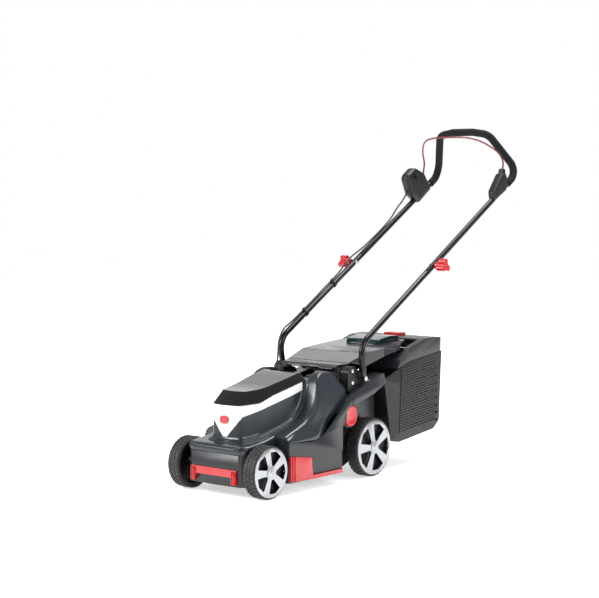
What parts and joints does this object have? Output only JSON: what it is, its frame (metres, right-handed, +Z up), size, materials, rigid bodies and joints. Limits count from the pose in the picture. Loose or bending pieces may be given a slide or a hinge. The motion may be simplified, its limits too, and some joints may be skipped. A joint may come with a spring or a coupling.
{
  "type": "push lawn mower",
  "caption": "Cordless rotary push mower with height-adjustable wheels, folding two-part tube handle, hinged battery lid and rear flap, and a slatted grass box.",
  "frame": {"origin": "middle of the footprint on the lawn, between the front tyres and the back of the grip", "axes": "+Z up, front of the mower towards -Y, +X to the mower's left (its user looks along -Y)"},
  "size_m": [0.422, 1.3971, 1.091],
  "materials": {
    "anthracite_plastic": "satin moulded polypropylene, anthracite",
    "cover_plastic": "satin blue-black moulded cover",
    "dark_plastic": "matt black moulded plastic",
    "lid_gloss": "gloss black",
    "pearl_plastic": "pearl white",
    "red_plastic": "bright red moulding",
    "red_paint": "red coated steel rod",
    "black_tube": "gloss black powder-coated steel tube",
    "zinc_steel": "zinc-plated steel",
    "blade_steel": "ground spring steel",
    "silver_plastic": "silver painted rim",
    "tyre_rubber": "black tread",
    "foam": "closed-cell foam sleeve",
    "cable_rubber": "black cable sheath",
    "smoke_window": "smoked glossy window",
    "circuit_board": "green circuit board",
    "motor_alloy": "cast motor shell"
  },
  "bodies": {
    "chassis": {"deck_housing": "anthracite_plastic", "discharge_duct": "dark_plastic", "cover_band": "pearl_plastic", "motor_cover": "cover_plastic", "badge": "red_plastic", "motor_can": "motor_alloy", "motor_bearings": "zinc_steel", "battery_bay": "dark_plastic", "battery_pack": "anthracite_plastic", "controller_board": "circuit_board", "safety_key": "red_plastic", "bumper_trim": "red_plastic", "side_trim_left": "red_plastic", "side_trim_right": "red_plastic", "handle_bracket_left": "dark_plastic", "handle_bracket_right": "dark_plastic", "bracket_screws": "zinc_steel", "pivot_bolts": "zinc_steel", "hinge_bridge": "dark_plastic", "flap_pin": "zinc_steel", "flap_spring": "zinc_steel", "button_spring": "zinc_steel", "cable_base": "cable_rubber"},
    "battery_lid": {"battery_lid": "lid_gloss"},
    "rotor": {"motor_shaft": "zinc_steel", "blade_carrier": "motor_alloy", "blade": "blade_steel", "blade_bolt": "zinc_steel"},
    "front_crank": {"front_axle": "zinc_steel"},
    "rear_crank": {"rear_axle": "zinc_steel"},
    "height_link": {"height_rod": "zinc_steel"},
    "height_button": {"height_button": "red_plastic"},
    "lower_handle": {"lower_tube_left": "black_tube", "lower_tube_right": "black_tube", "cable_lower": "cable_rubber", "cable_clips": "dark_plastic"},
    "upper_handle": {"upper_tube": "black_tube", "foam_grip": "foam", "switch_box": "dark_plastic", "bail_bracket": "dark_plastic", "cable_upper": "cable_rubber", "cable_loop": "cable_rubber", "clamp_bolts": "zinc_steel"},
    "clamp_knob_left": {"clamp_knob_left": "red_plastic"},
    "clamp_knob_right": {"clamp_knob_right": "red_plastic"},
    "bail": {"bail": "red_paint"},
    "start_button": {"start_button": "red_plastic"},
    "rear_flap": {"rear_flap": "anthracite_plastic", "flap_window": "smoke_window"},
    "grass_box": {"box_shell": "dark_plastic", "box_lid": "anthracite_plastic", "box_grip": "red_plastic"},
    "front_left_wheel": {"front_left_tyre": "tyre_rubber", "front_left_rim": "silver_plastic"},
    "front_right_wheel": {"front_right_tyre": "tyre_rubber", "front_right_rim": "silver_plastic"},
    "rear_left_wheel": {"rear_left_tyre": "tyre_rubber", "rear_left_rim": "silver_plastic"},
    "rear_right_wheel": {"rear_right_tyre": "tyre_rubber", "rear_right_rim": "silver_plastic"}
  },
  "joints": [
    {"name": "lid_hinge", "type": "hinge", "parent": "chassis", "child": "battery_lid", "pos_m": [0, -0.3595, 0.331], "axis": [-1, 0, 0], "range_deg": [0, 70]},
    {"name": "blade_spin", "type": "hinge", "parent": "chassis", "child": "rotor", "pos_m": [0, -0.4295, 0.054], "axis": [0, 0, 1], "continuous": true},
    {"name": "front_crank_hinge", "type": "hinge", "parent": "chassis", "child": "front_crank", "pos_m": [0, -0.6475, 0.091], "axis": [1, 0, 0], "range_deg": [-43, 22]},
    {"name": "rear_crank_hinge", "type": "hinge", "parent": "chassis", "child": "rear_crank", "pos_m": [0, -0.1635, 0.104], "axis": [1, 0, 0], "range_deg": [-43, 22]},
    {"name": "height_link_hinge", "type": "hinge", "parent": "front_crank", "child": "height_link", "pos_m": [-0.096, -0.6475, 0.116], "axis": [1, 0, 0], "range_deg": [-22, 43]},
    {"name": "front_left_spin", "type": "hinge", "parent": "front_crank", "child": "front_left_wheel", "pos_m": [0.147, -0.6195, 0.077], "axis": [1, 0, 0], "continuous": true},
    {"name": "front_right_spin", "type": "hinge", "parent": "front_crank", "child": "front_right_wheel", "pos_m": [-0.147, -0.6195, 0.077], "axis": [1, 0, 0], "continuous": true},
    {"name": "rear_left_spin", "type": "hinge", "parent": "rear_crank", "child": "rear_left_wheel", "pos_m": [0.153, -0.1355, 0.09], "axis": [1, 0, 0], "continuous": true},
    {"name": "rear_right_spin", "type": "hinge", "parent": "rear_crank", "child": "rear_right_wheel", "pos_m": [-0.153, -0.1355, 0.09], "axis": [1, 0, 0], "continuous": true},
    {"name": "height_button_press", "type": "slide", "parent": "chassis", "child": "height_button", "axis": [-1, 0, 0], "range_m": [0, 0.005], "stiffness_N_per_m": 400, "springref_m": -0.004, "deforming": ["button_spring"]},
    {"name": "lower_handle_fold", "type": "hinge", "parent": "chassis", "child": "lower_handle", "pos_m": [0, -0.1695, 0.306], "axis": [1, 0, 0], "range_deg": [0, 75], "deforming": ["cable_base"]},
    {"name": "upper_handle_fold", "type": "hinge", "parent": "lower_handle", "child": "upper_handle", "pos_m": [0, 0.1985, 0.637], "axis": [-1, 0, 0], "range_deg": [-150, 0], "deforming": ["cable_loop"]},
    {"name": "clamp_knob_left_turn", "type": "hinge", "parent": "upper_handle", "child": "clamp_knob_left", "pos_m": [0.19, 0.1985, 0.637], "axis": [1, 0, 0], "continuous": true},
    {"name": "clamp_knob_right_turn", "type": "hinge", "parent": "upper_handle", "child": "clamp_knob_right", "pos_m": [-0.19, 0.1985, 0.637], "axis": [1, 0, 0], "continuous": true},
    {"name": "bail_pull", "type": "hinge", "parent": "upper_handle", "child": "bail", "pos_m": [0, 0.6045, 0.935], "axis": [-1, 0, 0], "range_deg": [0, 22], "stiffness_Nm_per_rad": 0.6, "springref_deg": -17.19},
    {"name": "start_button_press", "type": "slide", "parent": "upper_handle", "child": "start_button", "axis": [-1, 0, 0], "range_m": [0, 0.004], "stiffness_N_per_m": 300, "springref_m": -0.003},
    {"name": "flap_hinge", "type": "hinge", "parent": "chassis", "child": "rear_flap", "pos_m": [0, -0.2275, 0.336], "axis": [1, 0, 0], "range_deg": [0, 70], "stiffness_Nm_per_rad": 0.3, "springref_deg": -28.65, "deforming": ["flap_spring"]},
    {"name": "grass_box_pull", "type": "slide", "parent": "chassis", "child": "grass_box", "axis": [0, 1, 0], "range_m": [0, 0.4]}
  ],
  "couplings": [
    {"joint": "rear_crank_hinge", "follows": "front_crank_hinge", "ratio": 1},
    {"joint": "height_link_hinge", "follows": "front_crank_hinge", "ratio": -1}
  ]
}
